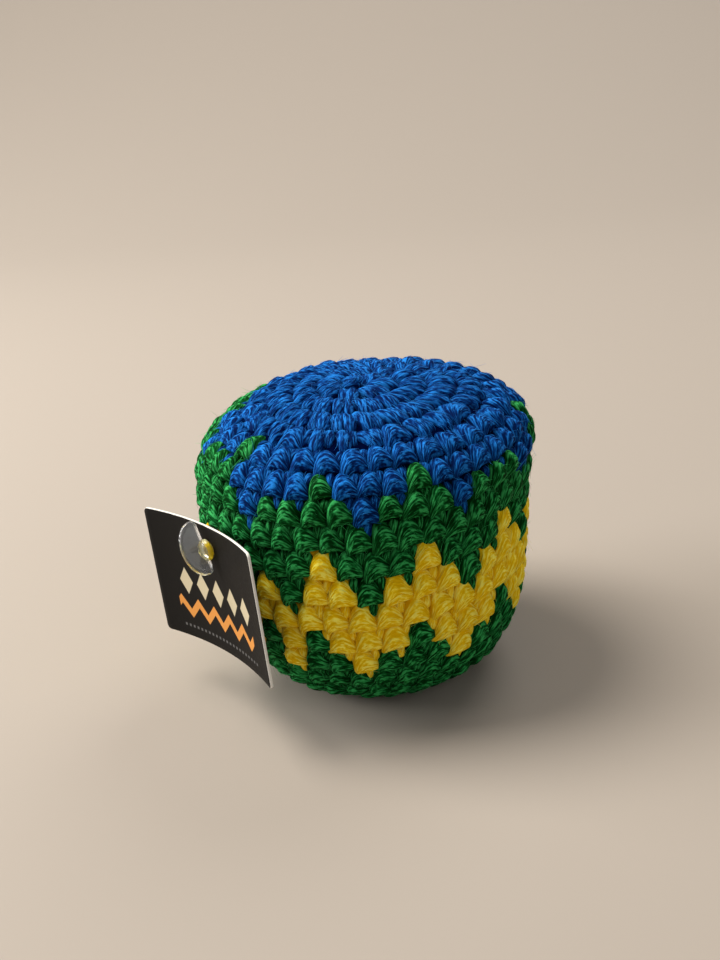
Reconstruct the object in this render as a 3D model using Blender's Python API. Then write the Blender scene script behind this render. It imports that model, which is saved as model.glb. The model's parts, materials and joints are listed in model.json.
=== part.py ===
"""A crocheted footbag: a stitched yarn cover in four colour areas round a sand filled
liner, with a card tag held by a clear turning fastener. Metres, +Z up, the front is -Y.
The origin is the centre of the flat base on which the footbag stands."""

import bmesh
import bpy
import numpy as np
from mathutils import Matrix, Vector

# Outline of the bag, over the crests of its rounds
BAG_RADIUS = 0.0285
WIDEST_HEIGHT = 0.0405
CROWN_RISE = 0.012
BASE_PRESS = 0.001
CROWN_SQUARENESS = 2.2
BASE_SQUARENESS = 3.4
OUTLINE_POINTS = 600

# Crochet rounds and the zigzag that they carry
ROUNDS = 20
STITCHES = 44
ZIGZAG_REPEATS = 10
ZIGZAG_ROUNDS = 2
UPPER_GREEN_ROUND = 8
YELLOW_ROUND = 11
LOWER_GREEN_ROUND = 14
FRONT_TIP_DEGREES = -0.95
COVER_THICKNESS = 0.0032
RIB_DEPTH = 0.0008
RIB_SIDE_SHARE = 0.3
COLOUR_GAP = 0.0003

# Knot that closes the last round
KNOT_EDGE = 0.0005

# Liner pouch with its neck and tie, and the sand inside
FIT_GAP = 0.0003
LINER_WALL = 0.0005
LINER_SIDES = 22
LINER_SHOULDER_ROUND = 5
LINER_DISH = 0.0015
NECK_BASE_RADIUS = 0.0046
NECK_WAIST_RADIUS = 0.0036
NECK_MOUTH_RADIUS = 0.0048
TIE_RADIUS = 0.0005
TIE_SIDES = 8
SAND_SETTLE = 0.0012

# Card tag
CARD_WIDTH = 0.034
CARD_HEIGHT = 0.0232
CARD_THICKNESS = 0.00045
CARD_CORNER = 0.0012
CARD_CORNER_STEPS = 3
CARD_CURL_RADIUS = 0.067
CARD_STRIPS = 14
CARD_STANDOFF = 0.0018
HOLE_RADIUS = 0.0013
HOLE_FROM_TOP = 0.004
HOLE_FROM_LEFT = 0.01768
HOLE_HEIGHT = 0.0309
HOLE_AZIMUTH_DEGREES = -58.2
CARD_FACING_DEGREES = -52.2

# Clear fastener: grip, hub, shaft and the bar behind the cover
GRIP_TURN_DEGREES = 121.0
SHAFT_RADIUS = 0.0008
SHAFT_GAP = 0.0003
HUB_RADIUS = 0.00185
HUB_RIM = 0.0003
HUB_NOSE_RADIUS = 0.0004
HUB_NOSE_LENGTH = 0.0012
GRIP_RADIUS = 0.0046
GRIP_RISE = 0.004
GRIP_OFFSET = 0.0007
GRIP_CORNER = 0.0009
GRIP_ROOT_THICKNESS = 0.0018
GRIP_RIM_THICKNESS = 0.0008
GRIP_EDGE = 0.00015
GRIP_STEPS = 12
GRIP_CLEARANCE = 0.0005
BAR_RADIUS = 0.0006
BAR_HALF_LENGTH = 0.0035
BAR_CLEARANCE = 0.0004
ROUND_SIDES = 16

FULL_TURN = 2 * np.pi
WELD = 1e-6


def clear_scene():
    for obj in list(bpy.data.objects):
        bpy.data.objects.remove(obj, do_unlink=True)


def make_material(name, colour, roughness, transmission=0.0):
    material = bpy.data.materials.new(name)
    material.use_nodes = True
    surface = material.node_tree.nodes["Principled BSDF"]
    surface.inputs["Base Color"].default_value = (*colour, 1.0)
    surface.inputs["Roughness"].default_value = roughness
    surface.inputs["Metallic"].default_value = 0.0
    surface.inputs["Transmission Weight"].default_value = transmission
    material.diffuse_color = (*colour, 1.0)
    return material


def add_object(name, bm, material=None, frame=None):
    """Turns a bmesh into an object whose faces point out, in the given frame."""
    bmesh.ops.recalc_face_normals(bm, faces=bm.faces)
    mesh = bpy.data.meshes.new(name)
    bm.to_mesh(mesh)
    bm.free()
    obj = bpy.data.objects.new(name, mesh)
    if material:
        mesh.materials.append(material)
    if frame:
        obj.matrix_world = frame
    bpy.context.scene.collection.objects.link(obj)
    return obj


def bake_modifiers(obj):
    """Replaces the mesh by what its modifiers make of it."""
    bpy.context.view_layer.update()
    seen = obj.evaluated_get(bpy.context.evaluated_depsgraph_get())
    mesh = bpy.data.meshes.new_from_object(seen)
    obj.modifiers.clear()
    obj.data = mesh


def combine(obj, tool, operation):
    """Cuts a tool out of an object, or joins it on, and removes the tool."""
    modifier = obj.modifiers.new(operation, "BOOLEAN")
    modifier.operation = operation
    modifier.solver = "EXACT"
    modifier.object = tool
    bake_modifiers(obj)
    bpy.data.objects.remove(tool, do_unlink=True)


def shade_smooth(obj, degrees):
    obj.data.shade_smooth()
    obj.data.set_sharp_from_angle(angle=np.radians(degrees))


def turned(points, sides):
    """A bmesh turned round +Z from a chain of (radius, height) points, joined end to end
    where the chain is closed."""
    bm = bmesh.new()
    ring = [bm.verts.new((radius, 0, height)) for radius, height in points]
    edges = [bm.edges.new(pair) for pair in zip(ring, ring[1:])]
    bmesh.ops.spin(
        bm, geom=ring + edges, cent=(0, 0, 0), axis=(0, 0, 1), angle=FULL_TURN, steps=sides
    )
    bmesh.ops.remove_doubles(bm, verts=bm.verts, dist=WELD)
    return bm


def toward(azimuth_degrees):
    """Level unit vector that points out at an azimuth from the front, positive to the right."""
    azimuth = np.radians(azimuth_degrees)
    return Vector((np.sin(azimuth), -np.cos(azimuth), 0))


def frame_on(origin, normal, roll_degrees):
    """Frame with +Z along a normal and +X rolled up from the level direction."""
    level = Vector((0, 0, 1)).cross(normal).normalized()
    upward = normal.cross(level)
    roll = np.radians(roll_degrees)
    across = level * np.cos(roll) + upward * np.sin(roll)
    along = normal.cross(across)
    frame = Matrix((across, along, normal)).transposed().to_4x4()
    frame.translation = origin
    return frame


def bag_outline():
    """Distances from the crown's centre and the (radius, height) points there: half a
    superellipse above the widest round and half below, pressed flat on the floor."""
    turn = np.linspace(0, np.pi / 2, OUTLINE_POINTS)
    rise = np.sin(turn) ** (2 / CROWN_SQUARENESS)
    reach = np.cos(turn) ** (2 / CROWN_SQUARENESS)
    crown = np.stack([BAG_RADIUS * reach, WIDEST_HEIGHT + CROWN_RISE * rise], 1)
    fall = np.sin(turn) ** (2 / BASE_SQUARENESS)
    reach = np.cos(turn) ** (2 / BASE_SQUARENESS)
    depth = WIDEST_HEIGHT + BASE_PRESS
    wall = np.stack([BAG_RADIUS * reach, WIDEST_HEIGHT - depth * fall], 1)
    points = np.concatenate([crown[::-1], wall[1:]])
    points[0, 0] = 0
    points[-1, 0] = 0
    points[:, 1] = np.maximum(points[:, 1], 0)
    steps = np.linalg.norm(np.diff(points, axis=0), axis=1)
    return np.concatenate([[0], np.cumsum(steps)]), points


DISTANCES, OUTLINE = bag_outline()
WHOLE_WAY = DISTANCES[-1]
ROUND_PITCH = WHOLE_WAY / ROUNDS


def outline_point(distance, depth):
    """(radius, height) at a distance from the crown's centre, sunk in by a depth."""
    reach = ROUND_PITCH / STITCHES
    distance = min(max(distance, 0), WHOLE_WAY)
    here = [np.interp(distance, DISTANCES, OUTLINE[:, k]) for k in (0, 1)]
    after = [np.interp(distance + reach, DISTANCES, OUTLINE[:, k]) for k in (0, 1)]
    before = [np.interp(distance - reach, DISTANCES, OUTLINE[:, k]) for k in (0, 1)]
    run = np.array(after) - np.array(before)
    outward = np.array([-run[1], run[0]]) / np.linalg.norm(run)
    at_pole = distance in (0, WHOLE_WAY)
    radius = 0 if at_pole else max(here[0] - depth * outward[0], 0)
    return radius, here[1] - depth * outward[1]


def groove_distance(line):
    """Distance of a groove between rounds; the first ring is half a round wide."""
    if line > ROUNDS:
        return WHOLE_WAY
    return max(line * ROUND_PITCH - ROUND_PITCH / 2, 0)


def round_at_height(height):
    """Bag radius over the crests at a height on the wall."""
    wall = OUTLINE[OUTLINE[:, 1] < WIDEST_HEIGHT]
    return np.interp(height, wall[::-1, 1], wall[::-1, 0])


def zigzag_steps():
    """How many rounds the zigzag rises above its tips in each column of stitches."""
    columns = np.arange(STITCHES)
    phase = (columns * ZIGZAG_REPEATS / STITCHES) % 1
    rise = ZIGZAG_ROUNDS * (1 - np.abs(2 * phase - 1))
    return np.round(rise).astype(int)


def cover_area(name, first, last, material):
    """One colour area of the cover: all the stitches from groove first[column] to groove
    last[column], as a shell with a rib for each round and a gap to its neighbours."""
    bm = bmesh.new()
    made = {}
    column_turn = FULL_TURN / STITCHES
    front = np.radians(FRONT_TIP_DEGREES)

    def holds(row, column):
        column = column % STITCHES
        return first[column] <= row < last[column]

    def corner(line, sub, column, inner):
        """Vertex on a groove (sub 0) or on the crest lines of the row below it."""
        key = (line, sub, column % STITCHES, inner)
        if key in made:
            return made[key]
        above = line if sub else line - 1
        missing = [
            (side, level)
            for side, at in ((-1, column - 1), (1, column))
            for level, row in ((-1, above), (1, line))
            if not holds(row, at)
        ]
        across = -np.sign(sum(side for side, level in missing))
        down = 0 if sub else -np.sign(sum(level for side, level in missing))
        distance = groove_distance(line)
        row_length = groove_distance(line + 1) - distance
        if sub:
            share = RIB_SIDE_SHARE if sub == 1 else 1 - RIB_SIDE_SHARE
            distance = distance + row_length * share
        depth = COVER_THICKNESS if inner else 0 if sub else RIB_DEPTH
        radius, height = outline_point(distance + down * COLOUR_GAP / 2, depth)
        azimuth = front + (column - 1 / 2) * column_turn
        azimuth = azimuth + across * COLOUR_GAP / 2 / max(radius, COLOUR_GAP)
        vertex = bm.verts.new((radius * np.sin(azimuth), -radius * np.cos(azimuth), height))
        made[key] = vertex
        return vertex

    def pole(inner):
        if ("pole", inner) not in made:
            depth = COVER_THICKNESS if inner else RIB_DEPTH
            made["pole", inner] = bm.verts.new((0, 0, outline_point(0, depth)[1]))
        return made["pole", inner]

    for column in range(STITCHES):
        for row in range(first[column], last[column]):
            left, right = column, column + 1
            levels = ((row, 0), (row, 1), (row, 2), (row + 1, 0))
            if row == 0:
                bm.faces.new((pole(False), corner(0, 2, left, False), corner(0, 2, right, False)))
                bm.faces.new((pole(True), corner(1, 0, right, True), corner(1, 0, left, True)))
                levels = levels[2:]
            else:
                ends = [corner(line, 0, side, True) for line in (row, row + 1) for side in (left, right)]
                bm.faces.new((ends[0], ends[1], ends[3], ends[2]))
            for (line_a, sub_a), (line_b, sub_b) in zip(levels, levels[1:]):
                bm.faces.new(
                    (
                        corner(line_a, sub_a, left, False),
                        corner(line_a, sub_a, right, False),
                        corner(line_b, sub_b, right, False),
                        corner(line_b, sub_b, left, False),
                    )
                )
            for line, beyond in ((row, row - 1), (row + 1, row + 1)):
                if row + line > 0 and not holds(beyond, column):
                    bm.faces.new(
                        (
                            corner(line, 0, left, False),
                            corner(line, 0, right, False),
                            corner(line, 0, right, True),
                            corner(line, 0, left, True),
                        )
                    )
            for side, beyond in ((left, column - 1), (right, column + 1)):
                if not holds(row, beyond):
                    rim = [corner(line, sub, side, False) for line, sub in levels]
                    rim += [corner(row + 1, 0, side, True), corner(row, 0, side, True)]
                    bm.faces.new(rim)
    obj = add_object(name, bm, material)
    combine(obj, shaft_passage(), "DIFFERENCE")
    shade_smooth(obj, 50.0)
    return obj


def closing_knot(material):
    """Drawn up end of the last round: a flat round stud in the base's small opening."""
    radius = outline_point(groove_distance(ROUNDS), COVER_THICKNESS)[0] - COLOUR_GAP / 2
    points = [
        (0, 0),
        (radius - KNOT_EDGE, 0),
        (radius, KNOT_EDGE),
        (radius, COVER_THICKNESS - KNOT_EDGE),
        (radius - KNOT_EDGE, COVER_THICKNESS),
        (0, COVER_THICKNESS),
    ]
    obj = add_object("closing_knot", turned(points, LINER_SIDES), material)
    shade_smooth(obj, 40.0)
    return obj


def liner_path(depth):
    """Points of the liner's side from the base's centre to its shoulder, at a depth."""
    lines = range(ROUNDS + 1, LINER_SHOULDER_ROUND - 1, -1)
    return [outline_point(groove_distance(line), depth) for line in lines]


LINER_DEPTH = COVER_THICKNESS + FIT_GAP
NECK_TOP = WIDEST_HEIGHT + CROWN_RISE - LINER_DEPTH - RIB_DEPTH
NECK_BASE = liner_path(LINER_DEPTH)[-1][1] - LINER_DISH
TIE_HEIGHT = (NECK_TOP + NECK_BASE) / 2


def liner_pouch(material, dent, wide_dent):
    """Thin pouch round the sand, gathered to an open neck that the tie draws in, and
    dented where the fastener's bar turns."""
    side = liner_path(LINER_DEPTH)
    outer = side + [
        (NECK_BASE_RADIUS, NECK_BASE),
        (NECK_WAIST_RADIUS, TIE_HEIGHT),
        (NECK_MOUTH_RADIUS, NECK_TOP),
    ]
    hollow_side = liner_path(LINER_DEPTH + LINER_WALL)
    hollow = hollow_side + [
        (NECK_BASE_RADIUS - LINER_WALL, NECK_BASE - LINER_WALL),
        (NECK_WAIST_RADIUS - LINER_WALL, TIE_HEIGHT),
        (NECK_MOUTH_RADIUS - LINER_WALL, NECK_TOP),
        (NECK_MOUTH_RADIUS - LINER_WALL, NECK_TOP + LINER_WALL),
    ]
    pouch = add_object("liner_pouch", turned(outer + [(0, NECK_TOP)], LINER_SIDES), material)
    space = add_object(
        "liner_space", turned(hollow + [(0, NECK_TOP + LINER_WALL)], LINER_SIDES)
    )
    combine(space, wide_dent, "DIFFERENCE")
    combine(pouch, dent, "DIFFERENCE")
    combine(pouch, space, "DIFFERENCE")
    shade_smooth(pouch, 40.0)
    return pouch


def liner_tie(material):
    """Cord ring drawn round the liner's neck."""
    bm = bmesh.new()
    middle = NECK_WAIST_RADIUS + FIT_GAP + TIE_RADIUS
    turn = np.linspace(0, FULL_TURN, TIE_SIDES, endpoint=False)
    ring = [
        bm.verts.new((middle + TIE_RADIUS * np.cos(a), 0, TIE_HEIGHT + TIE_RADIUS * np.sin(a)))
        for a in turn
    ]
    edges = [bm.edges.new((ring[k - 1], ring[k])) for k in range(TIE_SIDES)]
    bmesh.ops.spin(
        bm, geom=ring + edges, cent=(0, 0, 0), axis=(0, 0, 1), angle=FULL_TURN, steps=LINER_SIDES
    )
    bmesh.ops.remove_doubles(bm, verts=bm.verts, dist=WELD)
    obj = add_object("liner_tie", bm, material)
    shade_smooth(obj, 60.0)
    return obj


def sand_filling(material, dent):
    """Body of sand that fills the liner, settled a little below its neck."""
    depth = LINER_DEPTH + LINER_WALL + FIT_GAP
    top = NECK_BASE - LINER_WALL - FIT_GAP - SAND_SETTLE
    points = liner_path(depth) + [(0, top)]
    obj = add_object("sand_filling", turned(points, LINER_SIDES), material)
    combine(obj, dent, "DIFFERENCE")
    shade_smooth(obj, 40.0)
    return obj


def round_bar(name, radius, low, high, frame):
    """Plain cylinder along a frame's +Z, for cuts and for the fastener's round pieces."""
    points = [(0, low), (radius, low), (radius, high), (0, high)]
    return add_object(name, turned(points, ROUND_SIDES), frame=frame)


CARD_NORMAL = toward(CARD_FACING_DEGREES)
HOLE_OUTWARD = toward(HOLE_AZIMUTH_DEGREES)
HOLE_CENTRE = HOLE_OUTWARD * (round_at_height(HOLE_HEIGHT) + CARD_STANDOFF)
HOLE_CENTRE.z = HOLE_HEIGHT
HANG_DEGREES = np.degrees(
    np.arctan2(HOLE_FROM_LEFT - CARD_WIDTH / 2, CARD_HEIGHT / 2 - HOLE_FROM_TOP)
)


def hang_tag(material):
    """Card with rounded corners and a hole, curled away from the bag at its two ends. It
    hangs with its middle straight below the hole."""
    left = -HOLE_FROM_LEFT
    right = CARD_WIDTH - HOLE_FROM_LEFT
    top = HOLE_FROM_TOP
    bottom = HOLE_FROM_TOP - CARD_HEIGHT
    centres = ((right, top, 0), (left, top, 1), (left, bottom, 2), (right, bottom, 3))
    bm = bmesh.new()
    rim = []
    for x, y, quarter in centres:
        middle_x = x - np.sign(x) * CARD_CORNER
        middle_y = y - np.sign(y) * CARD_CORNER
        for step in range(CARD_CORNER_STEPS + 1):
            angle = (quarter + step / CARD_CORNER_STEPS) * np.pi / 2
            place = (
                middle_x + CARD_CORNER * np.cos(angle),
                middle_y + CARD_CORNER * np.sin(angle),
                -CARD_THICKNESS / 2,
            )
            rim.append(bm.verts.new(place))
    face = bm.faces.new(rim)
    grown = bmesh.ops.extrude_face_region(bm, geom=[face])["geom"]
    moved = [item for item in grown if isinstance(item, bmesh.types.BMVert)]
    bmesh.ops.translate(bm, verts=moved, vec=(0, 0, CARD_THICKNESS))
    for strip in range(1, CARD_STRIPS):
        at = left + CARD_WIDTH * strip / CARD_STRIPS
        everything = list(bm.verts) + list(bm.edges) + list(bm.faces)
        bmesh.ops.bisect_plane(
            bm, geom=everything, dist=WELD, plane_co=(at, 0, 0), plane_no=(1, 0, 0)
        )
    frame = frame_on(HOLE_CENTRE, CARD_NORMAL, HANG_DEGREES)
    card = add_object("hang_tag", bm, material, frame)
    hole = round_bar("card_hole", HOLE_RADIUS, -CARD_THICKNESS, CARD_THICKNESS, frame)
    combine(card, hole, "DIFFERENCE")
    for vertex in card.data.vertices:
        bend = vertex.co.x / CARD_CURL_RADIUS
        radius = CARD_CURL_RADIUS - vertex.co.z
        vertex.co.x = radius * np.sin(bend)
        vertex.co.z = CARD_CURL_RADIUS - radius * np.cos(bend)
    shade_smooth(card, 30.0)
    return card


SLANT = CARD_NORMAL.dot(HOLE_OUTWARD)
SLANT_SIDE = np.sqrt(1 - SLANT**2)
HUB_START = CARD_THICKNESS / 2 + SHAFT_GAP
GRIP_START = HUB_START + GRIP_CLEARANCE
COVER_INSIDE = BAG_RADIUS - COVER_THICKNESS
BAR_BULGE = BAR_HALF_LENGTH**2 / COVER_INSIDE
BAR_SWEEP = BAR_CLEARANCE + BAR_RADIUS + BAR_HALF_LENGTH * SLANT_SIDE + BAR_BULGE
BAR_PLACE = -(CARD_STANDOFF + COVER_THICKNESS + BAR_SWEEP) / SLANT


def grip_blade(frame):
    """Half round thumb blade: a flat root across the shaft and a little off its middle,
    round corners and an elliptic rim, thicker at the root than at the rim."""
    quarter = np.linspace(0, np.pi / 2, GRIP_STEPS // 3 + 1)
    half = np.linspace(0, np.pi, GRIP_STEPS + 1)[1:-1]
    inset = GRIP_RADIUS - GRIP_CORNER
    right = [
        (inset + GRIP_CORNER * np.sin(a), GRIP_CORNER - GRIP_CORNER * np.cos(a)) for a in quarter
    ]
    rim = [
        (GRIP_RADIUS * np.cos(a), GRIP_CORNER + (GRIP_RISE - GRIP_CORNER) * np.sin(a)) for a in half
    ]
    left = [(-x, rise) for x, rise in reversed(right)]
    bm = bmesh.new()
    sides = []
    for side in (-1, 1):
        loop = []
        for x, rise in right + rim + left:
            share = rise / GRIP_RISE
            thickness = GRIP_ROOT_THICKNESS * (1 - share) + GRIP_RIM_THICKNESS * share
            place = (GRIP_OFFSET + x, side * thickness / 2, GRIP_START + rise)
            loop.append(bm.verts.new(place))
        sides.append(loop)
        bm.faces.new(loop)
    for k in range(len(sides[0])):
        bm.faces.new((sides[0][k - 1], sides[0][k], sides[1][k], sides[1][k - 1]))
    blade = add_object("grip_blade", bm, frame=frame)
    bevel = blade.modifiers.new("edge", "BEVEL")
    bevel.width = GRIP_EDGE
    bevel.segments = 2
    bevel.limit_method = "ANGLE"
    bake_modifiers(blade)
    return blade


def tag_fastener(material):
    """One clear moulding: thumb blade, hub outside the card, shaft through the card and
    the cover, and the cross bar that holds it from inside."""
    frame = frame_on(HOLE_CENTRE, CARD_NORMAL, GRIP_TURN_DEGREES)
    points = [
        (0, BAR_PLACE),
        (SHAFT_RADIUS, BAR_PLACE),
        (SHAFT_RADIUS, HUB_START),
        (HUB_RADIUS, HUB_START),
        (HUB_RADIUS, HUB_START + HUB_RIM),
        (HUB_NOSE_RADIUS, GRIP_START + HUB_NOSE_LENGTH),
        (0, GRIP_START + HUB_NOSE_LENGTH),
    ]
    body = add_object("tag_fastener", turned(points, ROUND_SIDES), material, frame)
    combine(body, grip_blade(frame), "UNION")
    across = frame @ Matrix.Translation((0, 0, BAR_PLACE)) @ Matrix.Rotation(np.pi / 2, 4, "Y")
    bar = round_bar("cross_bar", BAR_RADIUS, -BAR_HALF_LENGTH, BAR_HALF_LENGTH, across)
    combine(body, bar, "UNION")
    shade_smooth(body, 40.0)
    return body


def shaft_passage():
    """Round way for the fastener's shaft, from its cross bar to its hub."""
    frame = frame_on(HOLE_CENTRE, CARD_NORMAL, 0.0)
    return round_bar("shaft_passage", SHAFT_RADIUS + SHAFT_GAP, BAR_PLACE, HUB_START, frame)


def dent_round_bar(name, grown):
    """Round pocket about the fastener's axis in which its cross bar turns."""
    frame = frame_on(HOLE_CENTRE, CARD_NORMAL, 0.0)
    radius = BAR_HALF_LENGTH + BAR_CLEARANCE + grown
    low = BAR_PLACE - BAR_RADIUS - BAR_CLEARANCE - grown
    return round_bar(name, radius, low, CARD_STANDOFF, frame)


def build():
    clear_scene()
    blue = make_material("blue_yarn", (0.02, 0.12, 0.5), 0.75)
    green = make_material("green_yarn", (0.01, 0.23, 0.04), 0.75)
    yellow = make_material("yellow_yarn", (0.72, 0.42, 0.02), 0.75)
    liner = make_material("liner_cloth", (0.6, 0.58, 0.52), 0.9)
    thread = make_material("liner_thread", (0.8, 0.8, 0.76), 0.8)
    sand = make_material("sand", (0.55, 0.42, 0.26), 0.95)
    card = make_material("tag_card", (0.03, 0.027, 0.025), 0.55)
    clear = make_material("clear_plastic", (0.9, 0.92, 0.93), 0.12, transmission=0.9)

    steps = zigzag_steps()
    everywhere = np.zeros(STITCHES, int)
    top = UPPER_GREEN_ROUND - steps
    middle = YELLOW_ROUND - steps
    bottom = LOWER_GREEN_ROUND - steps
    cover_area("crown_blue_crochet", everywhere, top, blue)
    cover_area("upper_green_crochet", top, middle, green)
    cover_area("yellow_zigzag_crochet", middle, bottom, yellow)
    cover_area("lower_green_crochet", bottom, everywhere + ROUNDS, green)

    closing_knot(green)
    dent = dent_round_bar("liner_dent", 0)
    wide_dent = dent_round_bar("wide_dent", LINER_WALL)
    sand_dent = dent_round_bar("sand_dent", LINER_WALL + FIT_GAP)
    liner_pouch(liner, dent, wide_dent)
    liner_tie(thread)
    sand_filling(sand, sand_dent)
    hang_tag(card)
    tag_fastener(clear)


build()
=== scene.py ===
"""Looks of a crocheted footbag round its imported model. Metres, +Z up, the front is -Y.

The cover is worked as one spiral from the crown's centre to the base's centre. Each
stitch of it shows a fat cushion of yarn that arches over sideways, and between two
cushions stands a narrow leg of yarn that comes down from the stitch above. Places on
the bag are told by two values: the distance from the crown's centre along the bag's
outline, and the azimuth from the front, positive to the right."""

import json

import bmesh
import bpy
import numpy as np
from mathutils import Matrix, Vector


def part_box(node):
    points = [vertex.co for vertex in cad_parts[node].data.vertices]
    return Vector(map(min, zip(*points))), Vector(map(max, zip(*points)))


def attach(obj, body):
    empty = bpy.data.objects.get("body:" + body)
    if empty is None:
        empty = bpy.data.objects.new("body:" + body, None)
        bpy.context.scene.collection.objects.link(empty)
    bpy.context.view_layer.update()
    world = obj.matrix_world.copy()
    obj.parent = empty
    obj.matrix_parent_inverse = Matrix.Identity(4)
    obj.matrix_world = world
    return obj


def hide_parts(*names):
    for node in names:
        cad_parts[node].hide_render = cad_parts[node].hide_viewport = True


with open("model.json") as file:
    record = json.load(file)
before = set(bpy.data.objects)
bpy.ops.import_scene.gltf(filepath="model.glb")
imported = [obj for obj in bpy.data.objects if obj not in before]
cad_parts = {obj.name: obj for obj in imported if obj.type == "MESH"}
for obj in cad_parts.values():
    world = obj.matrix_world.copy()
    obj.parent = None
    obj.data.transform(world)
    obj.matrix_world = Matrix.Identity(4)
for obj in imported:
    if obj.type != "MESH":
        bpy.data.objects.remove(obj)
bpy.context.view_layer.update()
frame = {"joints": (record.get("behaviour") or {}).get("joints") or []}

MM = 0.001
FULL_TURN = 2 * np.pi

# Outline of the bag over its stitches
BAG_RADIUS = 28.5 * MM
WIDEST_HEIGHT = 40.5 * MM
CROWN_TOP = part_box("crown_blue_crochet")[1].z
BASE_PRESS = 1.0 * MM
CROWN_SQUARENESS = 2.2
BASE_SQUARENESS = 3.4
OUTLINE_POINTS = 600

# Slump of the soft bag: above this level its right side stands out and its left side in,
# and below it the other way, by this number times a cubic of the height in metres
SLUMP_LEVEL = 41.0 * MM
SLUMP = 105.0

# Spiral of stitches. The crown's form fades out over the turns before its end turn, and
# the backs of the stitches lie below the outline by a share of the round's pitch.
CROWN_END_TURN = 4.6
CROWN_FADE = 1.2
GROUND_DEPTH = 0.29
ROUNDS = 20
WALL_TURNS = (7.5, 8.5, 9.5, 10.5, 11.5, 12.5)
WALL_STITCHES = (43.76, 42.78, 40.53, 39.55, 39.2, 38.69)
CROWN_STITCHES_A_ROUND = 7.2
BASE_STITCHES_A_ROUND = 7.0
FEWEST_STITCHES = 6.0
FIRST_TURN = 0.14
LAST_TURN = 19.72
LEG_TURN = 6.9895
CUSHION_PLACE = 0.4
ROUND_STARTS_DEGREES = -50.0

# Zigzag: each boundary's first round below its tips, and the azimuths in degrees of its
# tips and of its peaks, as worked by hand, with one short repeat on the front left
BLUE_EDGE = (
    8,
    (1, 35, 64, 72, 110, 146, 182, 216, 281, 323),
    (22, 92, 128, 164, 199, 234, 243, 252, 261, 306, 347),
)
GREEN_EDGE = (
    11,
    (0, 36, 72, 108, 144, 180, 216, 249, 258, 267, 276, 285, 312, 333),
    (20, 56, 92, 128, 164, 200, 233, 345),
)
YELLOW_EDGE = (
    14,
    (34, 70, 106, 142, 178, 214, 244, 274, 304, 330, 357),
    (20, 55, 91, 127, 163, 199, 230, 260, 290, 321, 342),
)

# Yarn colours, linear: body, painted shade for the crevices and between the fibres, and painted highlight
# for the fibres' crests, which the loose hairs also take
YARNS = {
    "blue": ((0.0, 0.057, 0.29), (0.0, 0.003, 0.032), (0.02, 0.27, 0.80)),
    "green": ((0.0, 0.127, 0.017), (0.0, 0.012, 0.001), (0.06, 0.52, 0.14)),
    "yellow": ((1.0, 0.77, 0.008), (0.74, 0.41, 0.001), (1.0, 0.97, 0.20)),
}

# Card tag, about its hole
TURNING = frame["joints"][0]
HOLE_CENTRE = np.array(TURNING["pos_m"])
CARD_NORMAL = np.array(TURNING["axis"])
CARD_WIDTH = 34.0 * MM
CARD_HEIGHT = 23.2 * MM
CARD_THICKNESS = 0.45 * MM
CARD_CORNER = 0.8 * MM
CARD_CURL_RADIUS = 67.0 * MM
CARD_EDGE = 0.08 * MM
HOLE_RADIUS = 1.3 * MM
HOLE_FROM_TOP = 4.0 * MM
HOLE_FROM_LEFT = 17.68 * MM
HANG_RADIANS = np.arctan2(HOLE_FROM_LEFT - CARD_WIDTH / 2, CARD_HEIGHT / 2 - HOLE_FROM_TOP)

# Clear fastener, along the card's normal from its hole
GRIP_TURN_DEGREES = 121.0
SHAFT_RADIUS = 0.8 * MM
HUB_START = 0.525 * MM
HUB_RADIUS = 1.85 * MM
HUB_RIM = 0.3 * MM
HUB_NOSE_RADIUS = 0.4 * MM
HUB_TOP = 2.225 * MM
GRIP_START = 1.025 * MM
GRIP_RADIUS = 4.6 * MM
GRIP_RISE = 4.0 * MM
GRIP_OFFSET = 0.7 * MM
GRIP_CORNER = 0.9 * MM
GRIP_ROOT_THICKNESS = 1.8 * MM
GRIP_RIM_THICKNESS = 0.8 * MM
GRIP_RIB_HEIGHT = 0.22 * MM
GRIP_RIB_WIDTH = 0.3 * MM
BAR_PLACE = -6.888 * MM
BAR_RADIUS = 0.6 * MM
BAR_HALF_LENGTH = 3.5 * MM

# Liner, its tie, the sand and the pocket for the fastener's bar
LINER_DEPTH = 3.5 * MM
LINER_WALL = 0.5 * MM
SAND_DEPTH = 4.3 * MM
NECK_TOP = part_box("liner_pouch")[1].z
TIE_HEIGHT = (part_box("liner_tie")[0].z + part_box("liner_tie")[1].z) / 2
NECK_BASE_RADIUS = 4.6 * MM
NECK_WAIST_RADIUS = 3.6 * MM
NECK_MOUTH_RADIUS = 4.8 * MM
TIE_RADIUS = 0.5 * MM
PLEATS = 14
POCKET_RADIUS = 4.0 * MM
POCKET_SOFTNESS = 0.2 * MM
POCKET_BOTTOM = -7.95 * MM
SHOULDER_TURN = 4.5
NECK_BASE = NECK_TOP - 2 * (NECK_TOP - TIE_HEIGHT)
SAND_TOP = NECK_BASE - 2.0 * MM
TIE_GAP = 0.3 * MM
PLEAT_DEPTH = 0.3 * MM
KNOT_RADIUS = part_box("closing_knot")[1].x
KNOT_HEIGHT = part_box("closing_knot")[1].z
KNOT_YARN = 0.7 * MM
KNOT_TURNS = 2.2

# Stage, in metres: floor, its curve up to the backdrop, and the lamps as place, size,
# energy and colour
FLOOR_START = -2.0
FLOOR_END = 0.35
FLOOR_BEND = 0.45
FLOOR_HALF_WIDTH = 2.5
BACKDROP_TOP = 2.5
LAMPS = {
    "key": ((-0.35, 0.10, 0.75), 0.45, 7.0, (1.0, 0.96, 0.90)),
    "side": ((-0.60, 0.05, 0.28), 0.4, 4.9, (1, 1, 1)),
    "fill": ((0.45, -0.60, 0.45), 0.6, 0.9, (1, 1, 1)),
    "rear": ((0.30, 0.45, 0.60), 0.5, 2.4, (1, 1, 1)),
}

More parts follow.
